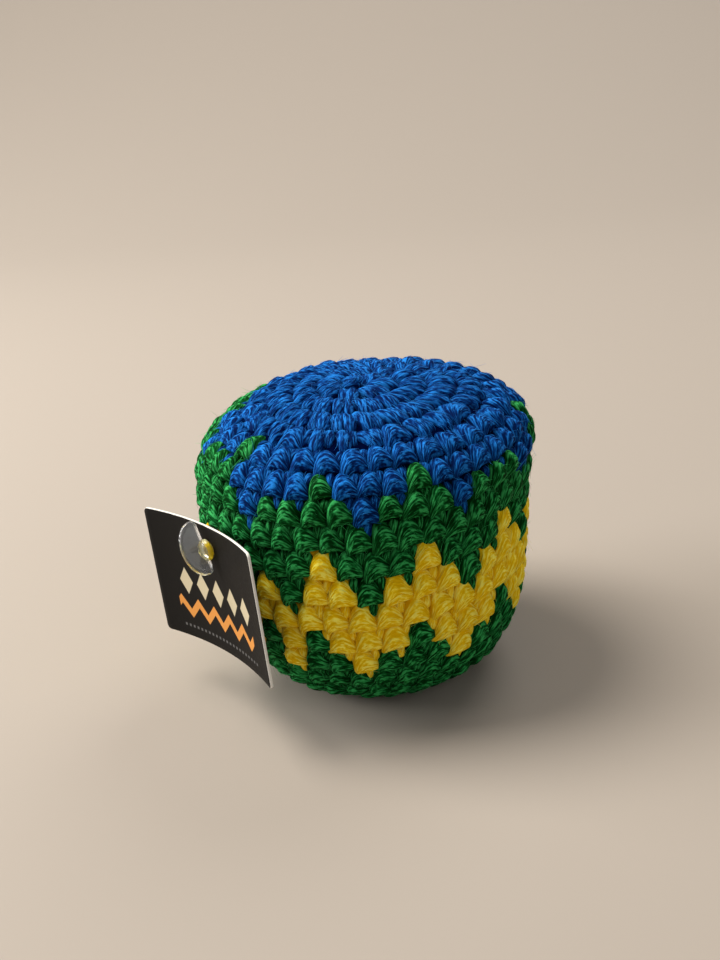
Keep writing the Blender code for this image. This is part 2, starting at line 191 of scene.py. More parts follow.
# Fitted view
FOCAL_SHARE = 1.25
VIEW_DISTANCE = 210.3 * MM
VIEW_RISE_DEGREES = 26.0
VIEW_ROLL_DEGREES = -4.31
AIM_HEIGHT = 25.8 * MM
AIM_PIXEL = (371.1, 522.7)
IMAGE_WIDTH = 720
IMAGE_HEIGHT = 960

RANDOM = np.random.default_rng(7)


# Bag surface

def bag_outline():
    """Outline as distances, (radius, height) points and outward normals: half a
    superellipse above the widest round and half below, pressed flat on the floor."""
    turn = np.linspace(0, np.pi / 2, OUTLINE_POINTS)
    rise = np.sin(turn) ** (2 / CROWN_SQUARENESS)
    reach = np.cos(turn) ** (2 / CROWN_SQUARENESS)
    crown = np.stack([BAG_RADIUS * reach, WIDEST_HEIGHT + (CROWN_TOP - WIDEST_HEIGHT) * rise], 1)
    fall = np.sin(turn) ** (2 / BASE_SQUARENESS)
    reach = np.cos(turn) ** (2 / BASE_SQUARENESS)
    wall = np.stack([BAG_RADIUS * reach, WIDEST_HEIGHT - (WIDEST_HEIGHT + BASE_PRESS) * fall], 1)
    points = np.concatenate([crown[::-1], wall[1:]])
    points[[0, -1], 0] = 0
    points[:, 1] = np.maximum(points[:, 1], 0)
    steps = np.linalg.norm(np.diff(points, axis=0), axis=1)
    distances = np.concatenate([[0], np.cumsum(steps)])
    even = np.linspace(0, distances[-1], OUTLINE_POINTS)
    radius = np.interp(even, distances, points[:, 0])
    height = np.interp(even, distances, points[:, 1])
    run = np.stack([np.gradient(radius, even), np.gradient(height, even)], 1)
    run /= np.linalg.norm(run, axis=1, keepdims=True)
    return even, radius, height, -run[:, 1], run[:, 0]


def circle(count):
    """Even angles of a full turn."""
    return np.arange(count) / count * FULL_TURN


OUTLINE = bag_outline()
WHOLE_WAY = OUTLINE[0][-1]
PITCH = WHOLE_WAY / ROUNDS


def outline_at(distance):
    """Radius, height and outward normal of the outline at a distance."""
    return [np.interp(distance, OUTLINE[0], row) for row in OUTLINE[1:]]


def radius_at(distance):
    return outline_at(distance)[0]


def on_bag(distance, azimuth, lift):
    """Point at a distance and an azimuth, moved out along the outline's normal. The slump
    scales its reach: a cubic over the height, at its full size at the sides."""
    radius, height, out, up = outline_at(distance)
    level = np.maximum(height + lift * up, 0)
    side = np.sin(azimuth) * np.abs(np.sin(azimuth))
    slump = SLUMP * level**2 * (level - SLUMP_LEVEL) * side
    reach = (radius + lift * out) * (1 + slump / BAG_RADIUS)
    return np.stack([reach * np.sin(azimuth), -reach * np.cos(azimuth), level], -1)


def stitched(turn, x, y, lift):
    """Point beside the middle of a stitch: x along the round to the right, y up towards
    the crown. The round climbs to the right by one pitch in a whole turn."""
    distance = PITCH * turn - y
    radius = np.maximum(radius_at(np.clip(distance, 0, WHOLE_WAY)), PITCH / 3)
    angle = x / radius
    distance = np.clip(distance - PITCH * angle / FULL_TURN, 0, WHOLE_WAY)
    return on_bag(distance, angle - FULL_TURN * turn, lift)


def stitches_a_round(turn):
    """Stitches in a whole round at a turn: more by the same number in each round of the
    crown, slowly fewer down the wall and fewer again in each round of the base."""
    grown = np.maximum(CROWN_STITCHES_A_ROUND * turn, FEWEST_STITCHES)
    shrunk = np.maximum(BASE_STITCHES_A_ROUND * (ROUNDS - turn), FEWEST_STITCHES)
    return np.minimum(np.minimum(grown, shrunk), np.interp(turn, WALL_TURNS, WALL_STITCHES))


def stitch_width(turn):
    """Length along the round that one stitch takes."""
    return FULL_TURN * np.maximum(radius_at(PITCH * turn), PITCH / 3) / stitches_a_round(turn)


def stitch_turns():
    """Turns of the spiral at which its legs stand: whole counts of the stitches passed,
    shifted so that one leg stands at the turn of the fitted leg."""
    turn = np.linspace(FIRST_TURN, LAST_TURN, 6000)
    density = stitches_a_round(turn)
    passed = np.concatenate([[0], np.cumsum((density[1:] + density[:-1]) / 2 * np.diff(turn))])
    passed -= np.interp(LEG_TURN, turn, passed)
    return np.interp(np.arange(np.ceil(passed[0]), passed[-1]), passed, turn)


# Zigzag pattern

def off_by(azimuth, places):
    """How far azimuths in degrees lie from the nearest of some places."""
    apart = np.abs(azimuth[..., None] - np.array(places)) % 360
    return np.minimum(apart, 360 - apart).min(-1)


def edge_round(turn, edge):
    """First round below a boundary: the edge's own round at a tip, two rounds higher at a
    peak and one between. Tips and peaks are one stitch wide."""
    first, tips, peaks = edge
    azimuth = np.degrees(-FULL_TURN * turn)
    half = 180 / stitches_a_round(turn)
    return first - 1 + (off_by(azimuth, tips) < half) - (off_by(azimuth, peaks) < half)


def area_of(turn):
    """Colour area at a turn of the spiral: 0 blue, 1 upper green, 2 yellow, 3 lower
    green. Rounds are counted from the azimuth where the first one started."""
    start = 1 + ROUND_STARTS_DEGREES / 360
    at_round = np.floor(turn + start).astype(int)
    edges = (BLUE_EDGE, GREEN_EDGE, YELLOW_EDGE)
    return sum((at_round >= edge_round(turn, edge)).astype(int) for edge in edges)


# Meshes

def make_mesh(name, points, quads, triangles=np.zeros((0, 3), int)):
    """Mesh from arrays of points, quads and triangles."""
    mesh = bpy.data.meshes.new(name)
    corners = np.concatenate([quads.ravel(), triangles.ravel()]).astype(np.int32)
    sizes = np.concatenate([np.full(len(quads), 4), np.full(len(triangles), 3)])
    starts = np.concatenate([[0], np.cumsum(sizes)[:-1]]).astype(np.int32)
    mesh.vertices.add(len(points))
    mesh.vertices.foreach_set("co", np.ascontiguousarray(points, np.float32).ravel())
    mesh.loops.add(len(corners))
    mesh.loops.foreach_set("vertex_index", corners)
    mesh.polygons.add(len(sizes))
    mesh.polygons.foreach_set("loop_start", starts)
    mesh.update(calc_edges=True)
    mesh.shade_smooth()
    return mesh


def add_uv(mesh, name, values):
    """UV map from one (u, v) pair for each point."""
    corners = np.zeros(len(mesh.loops), np.int32)
    mesh.loops.foreach_get("vertex_index", corners)
    layer = mesh.uv_layers.new(name=name)
    layer.data.foreach_set("uv", values[corners].astype(np.float32).ravel())


def add_values(mesh, name, values):
    attribute = mesh.attributes.new(name, "FLOAT", "POINT")
    attribute.data.foreach_set("value", values.astype(np.float32).ravel())


def put(name, data):
    """New object in the scene for a mesh, a lamp or a camera."""
    item = bpy.data.objects.new(name, data)
    bpy.context.scene.collection.objects.link(item)
    return item


def add_piece(name, mesh, materials, body, nodes=()):
    """Object for a mesh, riding on a body, that stands for CAD nodes."""
    piece = put(name, mesh)
    for material in materials:
        mesh.materials.append(material)
    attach(piece, body)
    if nodes:
        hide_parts(*nodes)
    return piece


def capsule_faces(count, rings, sides):
    """Faces of many closed strands, each one rings x sides points and then two poles."""
    size = rings * sides + 2
    ring, side = np.meshgrid(np.arange(rings - 1), np.arange(sides), indexing="ij")
    after = (side + 1) % sides
    quads = np.stack(
        [
            ring * sides + side,
            (ring + 1) * sides + side,
            (ring + 1) * sides + after,
            ring * sides + after,
        ],
        -1,
    ).reshape(-1, 4)
    side = np.arange(sides)
    after = (side + 1) % sides
    last = (rings - 1) * sides
    start = np.stack([np.full(sides, size - 2), side, after], 1)
    end = np.stack([last + side, np.full(sides, size - 1), last + after], 1)
    triangles = np.concatenate([start, end])
    offset = (np.arange(count) * size)[:, None, None]
    return (quads + offset).reshape(-1, 4), (triangles + offset).reshape(-1, 3)


def ring_faces(rings, sides):
    """Faces of a closed band of rings x sides points whose last ring meets its first."""
    ring, side = np.meshgrid(np.arange(rings), np.arange(sides), indexing="ij")
    beyond, after = (ring + 1) % rings, (side + 1) % sides
    corners = (ring * sides + side, beyond * sides + side, beyond * sides + after, ring * sides + after)
    return np.stack(corners, -1).reshape(-1, 4)


def axes_at(roll):
    """Axes about the card's hole: x rolled up from the level direction, y across it and z
    along the card's normal."""
    level = np.cross([0, 0, 1], CARD_NORMAL)
    upward = np.cross(CARD_NORMAL, level)
    across = level * np.cos(roll) + upward * np.sin(roll)
    return np.array([across, np.cross(CARD_NORMAL, across), CARD_NORMAL])


def fitted(points, roll):
    """Local points about the card's hole brought to their place."""
    return HOLE_CENTRE + points @ axes_at(roll)


# Yarn strands

# Rings along a strand, points round it, lobes round it and their depth as a share
CUSHION_FORM = (15, 24, 8, 0.09)
LEG_FORM = (9, 14, 6, 0.12)

# Fibres of a wall stitch run as curves from a narrow foot over an arch to a wide right
# end. Each place is given for the middle fibre, with what the outermost fibre adds to
# it, as shares of the stitch's width and of the round's pitch.
FAN_FOOT = ((-0.44, -0.66), (-0.17, 0.05))
FAN_ARCH = ((-0.20, 0.62), (-0.14, 0.74))
FAN_END = ((0.51, -0.28), (-0.02, 0.38))
FAN_ROUNDNESS = 2.2


def spread(low, high, count):
    return RANDOM.uniform(low, high, count)


def section_of(form, count, twist, roundness=2.8):
    """Places along and round a strand and the share of its section there: ends that are
    superellipses, and a lobe for each ply, which turns along the strand by the twist."""
    rings, sides, plies, ply_depth = form
    along = np.linspace(-1, 1, rings + 2)[1:-1]
    along = np.sign(along) * (1 - (1 - np.abs(along)) ** 1.25)
    along = np.concatenate([along, [-1, 1]])[None, :, None]
    share = (np.arange(sides) + 0.5) / sides * 2 - 1
    around = (np.pi * (0.6 * share + 0.4 * share**3))[None, None, :]
    body = np.sqrt(1 - np.abs(along) ** roundness)
    phase = spread(0, np.pi, count)[:, None, None]
    lobe = np.abs(np.cos(plies * around / 2 + twist * along + phase))
    return along, around, body * (1 - ply_depth * (1 - lobe**0.7))


def columns(count, *values):
    """Each value as one number for each strand, shaped to meet rings and sides."""
    return [np.broadcast_to(value, count).reshape(-1, 1, 1) for value in values]


def strand(form, half_length, half_width, half_depth, slant, bow, dive, sink, taper, twist):
    """Points of many short strands: x, y, height, and the fibre's own two coordinates.

    A strand runs along its own line for its half length each way, turned by the slant.
    It bows sideways as a parabola, dives at its ends as a cubic and narrows to them."""
    count = len(half_length)
    given = columns(count, half_length, half_width, half_depth, slant, bow, dive, sink, taper, twist)
    half_length, half_width, half_depth, slant, bow, dive, sink, taper, twist = given
    along, around, section = section_of(form, count, twist)
    main = half_length * along + 0 * section
    side = bow * (0.5 - along**2) + half_width * (1 + taper * along) * section * np.sin(around)
    out = half_depth * section * np.cos(around) - sink - dive * np.abs(along) ** 3
    x = main * np.cos(slant) - side * np.sin(slant)
    y = main * np.sin(slant) + side * np.cos(slant)
    fibre = half_width * np.sin(around) + 0.3 * twist * half_length * along + 0 * main
    return np.stack([x, y, out, main, fibre])


def fan(form, width, size, tilt, half_depth, dive, sink, lean, twist):
    """Points of many stitches as fans: x, y, height, and the fibre's two coordinates.

    Every fibre is a quadratic curve between its foot and its right end, drawn to the
    arch. The outer fibres stand high over the inner ones at the right and close beside
    them at the foot. The lean lifts the lower side over the next round."""
    count = len(width)
    width, size, tilt, half_depth, dive, sink, lean, twist = columns(
        count, width, size, tilt, half_depth, dive, sink, lean, twist
    )
    along, around, section = section_of(form, count, twist, FAN_ROUNDNESS)
    share = (along + 1) / 2
    parts = ((1 - share) ** 2, 2 * share * (1 - share), share**2)
    place, spread_out = (
        [sum(part * point[side][k] for part, point in zip(parts, (FAN_FOOT, FAN_ARCH, FAN_END)))
         for k in (0, 1)]
        for side in (0, 1)
    )
    fibre = section * np.sin(around)
    across = size * width * (place[0] + spread_out[0] * fibre)
    rise = size * PITCH * (place[1] + spread_out[1] * fibre)
    half_width = np.hypot(spread_out[0] * width, spread_out[1] * PITCH)
    depth = half_depth * np.minimum(half_width / (0.42 * PITCH), 1) ** 0.6
    x = across * np.cos(tilt) - rise * np.sin(tilt)
    y = across * np.sin(tilt) + rise * np.cos(tilt)
    out = depth * section * np.cos(around) - sink - dive * np.abs(along) ** 3 - lean * y
    main = 0.75 * PITCH * along + 0 * section
    fibre = 0.42 * PITCH * np.sin(around) + 0.12 * twist * PITCH * along + 0 * section
    return np.stack([x, y, out, main, fibre])


def flattened(grids):
    """Rings first and then the two poles, as capsule_faces counts them."""
    count = grids.shape[1]
    rings = grids[:, :, :-2].reshape(5, count, -1)
    return np.concatenate([rings, grids[:, :, -2:, 0]], 2)


def crown_share(turn):
    """From 1 in the crown's first rounds to 0 where the rounds stand on the wall. It is
    the chance of a crown stitch, and how far a leg takes the crown's form."""
    return np.clip((CROWN_END_TURN - turn) / CROWN_FADE, 0, 1)


def cushions(turn):
    """Fat part of each stitch: a fan on the wall, and on the crown a slimmer strand that
    crosses the round steeply, like a stroke of a rope. Where the crown bends over to the
    wall, chance picks one of the two for each stitch."""
    count = len(turn)
    crown = crown_share(turn)
    on_wall = fan(
        CUSHION_FORM,
        width=stitch_width(turn),
        size=spread(1.13, 1.27, count),
        tilt=np.radians(spread(-12, 10, count)),
        half_depth=0.42 * PITCH,
        dive=0.12 * PITCH,
        sink=PITCH * spread(0.34, 0.41, count),
        lean=0.20,
        twist=spread(-0.5, 0.9, count),
    )
    on_crown = strand(
        CUSHION_FORM,
        half_length=PITCH * spread(0.68, 0.80, count),
        half_width=PITCH * spread(0.26, 0.34, count),
        half_depth=0.36 * PITCH,
        slant=np.radians(spread(-80, -40, count)),
        bow=0.08 * PITCH,
        dive=0.26 * PITCH,
        sink=PITCH * spread(0.30, 0.42, count),
        taper=spread(-0.2, 0.2, count),
        twist=spread(0.3, 1.3, count),
    )
    crossing = RANDOM.uniform(0, 1, count) < crown
    points = np.where(crossing[None, :, None, None], on_crown, on_wall)
    points[0] += (spread(-0.03, 0.03, count) * stitch_width(turn))[:, None, None]
    points[1] += (PITCH * spread(-0.06, 0.06, count))[:, None, None]
    return flattened(points)


def legs(turn):
    """Narrow strands that stand between the cushions, mostly wider at their tops, and
    longer, fatter and more slanted on the crown."""
    count = len(turn)
    crown = crown_share(turn)
    points = strand(
        LEG_FORM,
        half_length=PITCH * (0.40 + 0.30 * crown) * spread(0.93, 1.07, count),
        half_width=PITCH * (0.21 + 0.06 * crown) * spread(0.85, 1.15, count),
        half_depth=0.25 * PITCH,
        slant=np.radians(90 + spread(-12, 12, count) + 24 * crown),
        bow=PITCH * spread(-0.06, 0.06, count),
        dive=0.14 * PITCH,
        sink=PITCH * (spread(0.38, 0.44, count) - 0.12 * crown),
        taper=spread(-0.05, 0.2, count) * (1 - crown),
        twist=spread(0.3, 1.0, count),
    )
    points[1] += (0.24 * PITCH * (1 - crown))[:, None, None]
    return flattened(points)


def yarn_mesh(name, parts):
    """One mesh of several sets of strands, each a (turn, points, form) set. The UV map
    is in millimetres along and across the fibres, the depth tells how far a point lies
    below the crests, and the tone differs from stitch to stitch. Also gives the places
    of the strands' rings, as one array for each set."""
    points, quads, triangles, fibres, depths, tones, places = [], [], [], [], [], [], []
    passed = 0
    for turn, (x, y, z, u, v), (rings, sides, _, _) in parts:
        count = len(turn)
        place = stitched(turn[:, None], x, y, z)
        places.append(place[:, :-2].reshape(count, rings, sides, 3))
        new_quads, new_triangles = capsule_faces(count, rings, sides)
        points.append(place.reshape(-1, 3))
        quads.append(new_quads + passed)
        triangles.append(new_triangles + passed)
        shift = RANDOM.uniform(0, 500, (count, 1))
        fibres.append(np.stack([(u / MM + shift).ravel(), (v / MM + shift * 0.37).ravel()], 1))
        depths.append(np.clip(-z / (PITCH * 0.42), 0, 1).ravel())
        tones.append(np.repeat(RANDOM.uniform(0, 1, count), x.shape[1]))
        passed += x.size
    mesh = make_mesh(name, np.concatenate(points), np.concatenate(quads), np.concatenate(triangles))
    add_uv(mesh, "fibre", np.concatenate(fibres))
    add_values(mesh, "depth", np.concatenate(depths))
    add_values(mesh, "tone", np.concatenate(tones))
    return mesh, places


def tubes(path, width):
    """Points of closed tubes along (count, rings, 3) paths. The width is the radius for
    each ring and side. The poles stand half a radius beyond the ends."""
    run = np.gradient(path, axis=1)
    run /= np.linalg.norm(run, axis=-1, keepdims=True) + 1e-12
    across = np.cross(run, np.array([0.31, 0.52, 0.80]))
    across /= np.linalg.norm(across, axis=-1, keepdims=True)
    other = np.cross(run, across)
    angle = circle(width.shape[-1])
    ring = across[:, :, None] * np.cos(angle)[:, None] + other[:, :, None] * np.sin(angle)[:, None]
    tube = path[:, :, None] + width[..., None] * ring
    reach = width[:, [0, -1], :1] * np.array([-0.5, 0.5])[None, :, None]
    ends = path[:, [0, -1]] + run[:, [0, -1]] * reach
    return np.concatenate([tube.reshape(len(path), -1, 3), ends], 1)


HAIR_RINGS, HAIR_SIDES = 4, 3
HAIR_RADIUS = 0.022 * MM


def fuzz_mesh(name, places, hairs_each):
    """Loose hairs of the yarn. Each starts on a strand's outer side, follows its fibres
    for a few rings and lifts off from it by a parabola."""
    lines = []
    for place, hairs in zip(places, hairs_each):
        count, rings, sides, _ = place.shape
        total = int(count * hairs)
        which = RANDOM.integers(0, count, total)
        step = RANDOM.choice([-1, 1], total)
        start = RANDOM.integers(HAIR_RINGS, rings - HAIR_RINGS, total)
        side = RANDOM.integers(sides // 5, sides - sides // 5, total)
        ring = start[:, None] + step[:, None] * np.arange(HAIR_RINGS)
        path = place[which[:, None], ring, side[:, None]]
        out = path - place.mean(2)[which[:, None], ring]
        out /= np.linalg.norm(out, axis=-1, keepdims=True)
        share = np.arange(HAIR_RINGS)[None, :, None] / (HAIR_RINGS - 1)
        lift = RANDOM.exponential(0.28 * MM, (total, 1, 1)) * share**2
        stray = RANDOM.normal(0, 0.24 * MM, (total, 1, 3)) * share
        lines.append(path + out * (lift + HAIR_RADIUS) + stray)
    path = np.concatenate(lines)
    path[..., 2] = np.maximum(path[..., 2], 2 * HAIR_RADIUS)
    width = np.array([1.0, 1.0, 0.8, 0.5])[None, :, None] * np.ones((len(path), 1, HAIR_SIDES))
    points = tubes(path, HAIR_RADIUS * width)
    mesh = make_mesh(name, points.reshape(-1, 3), *capsule_faces(len(path), HAIR_RINGS, HAIR_SIDES))
    tone = np.repeat(RANDOM.uniform(0, 1, len(path)), points.shape[1])
    add_values(mesh, "tone", tone)
    return mesh


# Materials

def new_material(name):
    material = bpy.data.materials.new(name)
    material.use_nodes = True
    return material, material.node_tree, material.node_tree.nodes["Principled BSDF"]


def set_inputs(tree, node, values):
    """Sets a node's inputs by name or number from sockets, colours as tuples of three,
    or plain values."""
    for key, value in values.items():
        if isinstance(value, bpy.types.NodeSocket):
            tree.links.new(value, node.inputs[key])
        elif isinstance(value, tuple):
            node.inputs[key].default_value = (*value, 1)
        elif value is not None:
            node.inputs[key].default_value = value
    return node


def add_node(tree, kind, values):
    return set_inputs(tree, tree.nodes.new("ShaderNode" + kind), values)


def math(tree, operation, first, second=None, clamp=False):
    """Math node on sockets or plain numbers; gives its output socket."""
    node = add_node(tree, "Math", {0: first, 1: second})
    node.operation = operation
    node.use_clamp = clamp
    return node.outputs[0]


def times(tree, first, second):
    return math(tree, "MULTIPLY", first, second)


def plus(tree, first, second):
    return math(tree, "ADD", first, second)


def vector_math(tree, operation, first, second=None, output="Vector"):
    node = tree.nodes.new("ShaderNodeVectorMath")
    node.operation = operation
    return set_inputs(tree, node, {0: first, 1: second}).outputs[output]


def mix(tree, share, first, second):
    """Colour mix of sockets or plain colours; gives its output socket."""
    node = tree.nodes.new("ShaderNodeMix")
    node.data_type = "RGBA"
    return set_inputs(tree, node, {0: share, 6: first, 7: second}).outputs[2]


def attribute(tree, name):
    node = tree.nodes.new("ShaderNodeAttribute")
    node.attribute_name = name
    return node.outputs


def uv_map(tree, name):
    node = tree.nodes.new("ShaderNodeUVMap")
    node.uv_map = name
    return node.outputs["UV"]


def own_place(tree):
    return tree.nodes.new("ShaderNodeTexCoord").outputs["Object"]


def split_up(tree, source):
    return add_node(tree, "SeparateXYZ", {"Vector": source}).outputs


def own_noise(tree, scale, detail=2):
    """Noise over the piece's own coordinates in metres."""
    given = {"Scale": scale, "Detail": detail, "Vector": own_place(tree)}
    return add_node(tree, "TexNoise", given).outputs["Fac"]


def relief(tree, surface, height, strength, distance):
    """Fine relief of a surface from a height."""
    given = {"Strength": strength, "Distance": distance, "Height": height}
    bump = add_node(tree, "Bump", given)
    set_inputs(tree, surface, {"Normal": bump.outputs["Normal"]})
    return bump


def fibre_group():
    """Fibres along a strand: long thin streaks in two sizes across the fibre direction, and slow patches
    along it. Gives the colour, the height and the roughness. The colour has painted shade between the
    fibres and in the crevices, by the depth, and painted highlights on the fibres' crests."""
    group = bpy.data.node_groups.new("yarn_fibres", "ShaderNodeTree")
    for side, kind, names in (
        ("INPUT", "Color", ("Body", "Shade", "Light")),
        ("INPUT", "Float", ("Depth", "Tone")),
        ("INPUT", "Vector", ("Fibre",)),
        ("OUTPUT", "Color", ("Color",)),
        ("OUTPUT", "Float", ("Height", "Roughness")),
    ):
        for name in names:
            group.interface.new_socket(name, in_out=side, socket_type="NodeSocket" + kind)
    given = group.nodes.new("NodeGroupInput").outputs
    result = group.nodes.new("NodeGroupOutput")

    def streaks(along, across, detail):
        mapping = add_node(group, "Mapping", {"Scale": [along, across, 1], "Vector": given["Fibre"]})
        noise = group.nodes.new("ShaderNodeTexNoise")
        noise.noise_dimensions = "2D"
        set_inputs(group, noise, {"Scale": 1, "Detail": detail, "Vector": mapping.outputs[0]})
        return noise.outputs["Fac"]

    fine = streaks(0.8, 3.9, 2)
    plies = streaks(0.35, 1.9, 1)
    patches = streaks(0.5, 0.5, 1)
    height = plus(group, times(group, fine, 0.55), times(group, plies, 0.45))
    ramp = add_node(group, "MapRange", {"From Min": 0.40, "From Max": 0.60, "Value": height})
    thread = ramp.outputs["Result"]
    # Share of painted shade in the crevices, from the depth below the crests
    crevice_shade = math(group, "POWER", given["Depth"], 1.8, clamp=True)
    colour = given["Body"]
    # Painted shade between the fibres, painted highlights on their crests, a tone that differs at random,
    # and painted shade in the crevices
    for share, strength, name in (
        (math(group, "SUBTRACT", 1.0, thread), 0.85, "Shade"),
        (math(group, "POWER", thread, 3.0), 0.7, "Light"),
        (plus(group, given["Tone"], patches), 0.16, "Shade"),
        (crevice_shade, 0.9, "Shade"),
    ):
        colour = mix(group, times(group, share, strength), colour, given[name])
    rough = plus(group, times(group, thread, -0.14), 0.78)
    set_inputs(group, result, {"Color": colour, "Height": height, "Roughness": rough})
    return group


FIBRES = fibre_group()


def yarn_material(name, body, shade, highlight):
    """Soft plied yarn: streaks along the fibres with painted shade between them and painted highlights on
    them, painted shade in the crevices, and a faint sheen.
    """
    material, tree, surface = new_material(name)
    group = tree.nodes.new("ShaderNodeGroup")
    group.node_tree = FIBRES
    given = {"Body": body, "Shade": shade, "Light": highlight, "Fibre": uv_map(tree, "fibre")}
    for value in ("depth", "tone"):
        given[value.title()] = attribute(tree, value)["Fac"]
    set_inputs(tree, group, given)
    relief(tree, surface, group.outputs["Height"], 0.9, 0.4 * MM)
    set_inputs(tree, surface, {
        "Base Color": group.outputs["Color"],
        "Roughness": group.outputs["Roughness"],
        "Sheen Weight": 0.015,
        "Sheen Roughness": 0.4,
        "Sheen Tint": highlight,
        "Specular IOR Level": 0.03,
    })
    return material


def hair_material(name, colour):
    """Single fibres in the yarn's painted highlight colour, so lighter than the yarn, each in its own
    tone.
    """
    material, tree, surface = new_material(name)
    darker = tuple(value * 0.55 for value in colour)
    toned = mix(tree, attribute(tree, "tone")["Fac"], darker, colour)
    given = {"Base Color": toned, "Roughness": 0.6, "Specular IOR Level": 0.15}
    set_inputs(tree, surface, given)
    return material


# Crochet cover

def crochet_cover():
    """Four colour areas of cushions and legs, with their loose hairs. A leg comes from
    the stitch above it, so it has the colour of the cushion one turn before."""
    turns = stitch_turns()
    middles = turns[:-1] + CUSHION_PLACE * np.diff(turns)
    cushion_area = area_of(middles)
    above = np.searchsorted(turns, turns - 1) - 1
    leg_area = cushion_area[np.maximum(above, 0)]
    yarns = {key: yarn_material(key + "_yarn_fibres", *YARNS[key]) for key in YARNS}
    # Loose hairs take the painted highlight colour of each yarn
    hairs = {key: hair_material(key + "_hair", YARNS[key][2]) for key in YARNS}
    areas = (
        ("crown_blue", "blue", "crown_blue_crochet"),
        ("upper_green", "green", "upper_green_crochet"),
        ("yellow_zigzag", "yellow", "yellow_zigzag_crochet"),
        ("lower_green", "green", "lower_green_crochet"),
    )
    for area, (name, key, node) in enumerate(areas):
        of_cushions = middles[cushion_area == area]
        of_legs = turns[leg_area == area]
        parts = (
            (of_cushions, cushions(of_cushions), CUSHION_FORM),
            (of_legs, legs(of_legs), LEG_FORM),
        )
        mesh, places = yarn_mesh(name + "_stitches", parts)
        piece = add_piece(name + "_stitches", mesh, [yarns[key]], "bag", [node])
        fuzz = fuzz_mesh(name + "_fuzz", places, (11, 4))
        add_piece(name + "_fuzz", fuzz, [hairs[key]], "bag")


def crochet_ground():
    """Backs of the stitches, which show between them in painted shade: the bag's outline sunk in, in each
    area's shade colour, darkened further toward black in random patches.
    """
    sides, rings = 176, 90
    distance = np.linspace(0, WHOLE_WAY, rings + 2)[1:-1, None]
    azimuth = circle(sides)[None, :]
    sunk = -PITCH * GROUND_DEPTH
    grid = on_bag(distance, azimuth, sunk + 0 * distance * azimuth)
    poles = on_bag(np.array([0, WHOLE_WAY]), np.zeros(2), np.full(2, sunk))
    points = np.concatenate([grid.reshape(-1, 3), poles])
    mesh = make_mesh("crochet_ground", points, *capsule_faces(1, rings, sides))
    wound = np.round(distance / PITCH + azimuth / FULL_TURN) - azimuth / FULL_TURN
    area = np.concatenate([area_of(wound).ravel(), [0, 3]])
    # Painted shade: each area's shade colour, darkened toward black in random patches below
    colours = np.array([YARNS[key][1] for key in ("blue", "green", "yellow", "green")])
    layer = mesh.color_attributes.new("shade", "FLOAT_COLOR", "POINT")
    rgba = np.concatenate([colours[area], np.ones((len(area), 1))], 1)
    layer.data.foreach_set("color", rgba.astype(np.float32).ravel())
    material, tree, surface = new_material("stitch_backs_painted_shade")
    share = times(tree, own_noise(tree, 900), 0.7)
    darker = mix(tree, share, attribute(tree, "shade")["Color"], (0.0, 0.0, 0.0))
    given = {"Base Color": darker, "Roughness": 0.95, "Specular IOR Level": 0.01}
    set_inputs(tree, surface, given)
    add_piece("crochet_ground", mesh, [material], "bag")


# Card tag

CARD_RINGS = 26
CORNER_STEPS = 6
LONG_STEPS = 26
SHORT_STEPS = 18


def card_rim():
    """Points round the card's edge, counted anticlockwise about its hole."""
    left, right = -HOLE_FROM_LEFT, CARD_WIDTH - HOLE_FROM_LEFT
    top, bottom = HOLE_FROM_TOP, HOLE_FROM_TOP - CARD_HEIGHT
    corners = ((right, top), (left, top), (left, bottom), (right, bottom))
    arcs = []
    for quarter, (x, y) in enumerate(corners):
        angle = (quarter + np.linspace(0, 1, CORNER_STEPS + 1)) * np.pi / 2
        arc = np.stack([np.cos(angle), np.sin(angle)], 1) * CARD_CORNER
        arcs.append(np.array([x - np.sign(x) * CARD_CORNER, y - np.sign(y) * CARD_CORNER]) + arc)
    rim = []
    for arc, after, steps in zip(arcs, arcs[1:] + arcs[:1], (LONG_STEPS, SHORT_STEPS) * 2):
        share = np.linspace(0, 1, steps + 1)[1:-1, None]
        rim += [arc, arc[-1] + (after[0] - arc[-1]) * share]
    return np.concatenate(rim)


def card_mesh():
    """Curled card. Rings run from the hole to the rim on the printed side, over the cut
    edge, back to the hole on the other side and through the hole."""
    rim = card_rim()
    length = np.linalg.norm(rim, axis=1, keepdims=True)
    hole = rim / length * HOLE_RADIUS
    half = CARD_THICKNESS / 2
    inner = CARD_EDGE / (length - HOLE_RADIUS)
    shares = np.linspace(0, 1, CARD_RINGS)[:, None, None] ** 1.3
    flat = hole + (rim - hole) * (inner + (1 - 2 * inner) * shares)
    lift = np.full(CARD_RINGS, half)
    soft = half - CARD_EDGE
    rings = np.concatenate([flat, rim[None], rim[None], flat[::-1], hole[None], hole[None]])
    lifts = np.concatenate([lift, [soft, -soft], -lift, [-soft, soft]])
    bend = rings[:, :, 0] / CARD_CURL_RADIUS
    radius = CARD_CURL_RADIUS - lifts[:, None]
    x = radius * np.sin(bend)
    z = CARD_CURL_RADIUS - radius * np.cos(bend)
    local = np.stack([x, rings[:, :, 1], z], -1)
    quads = ring_faces(len(rings), len(rim))
    mesh = make_mesh("card", fitted(local.reshape(-1, 3), HANG_RADIANS), quads)
    add_uv(mesh, "flat", rings.reshape(-1, 2) / MM)
    at_ring = np.repeat(np.arange(len(rings)), len(rim))
    kinds = np.ones(len(rings), np.int32)
    kinds[: CARD_RINGS - 1] = 0
    kinds[CARD_RINGS + 2 : 2 * CARD_RINGS + 1] = 2
    mesh.polygons.foreach_set("material_index", kinds[at_ring])
    mesh.update()
    return mesh


def soft_mask(tree, value, edge):
    """1 where a value in millimetres is below the edge, with a soft step."""
    given = {"From Min": edge + 0.06, "From Max": edge - 0.06, "Value": value}
    return add_node(tree, "MapRange", given).outputs["Result"]


def paper_grain(tree, surface, scale, strength):
    grain = own_noise(tree, scale, 4)
    relief(tree, surface, grain, strength, 0.05 * MM)
    return grain


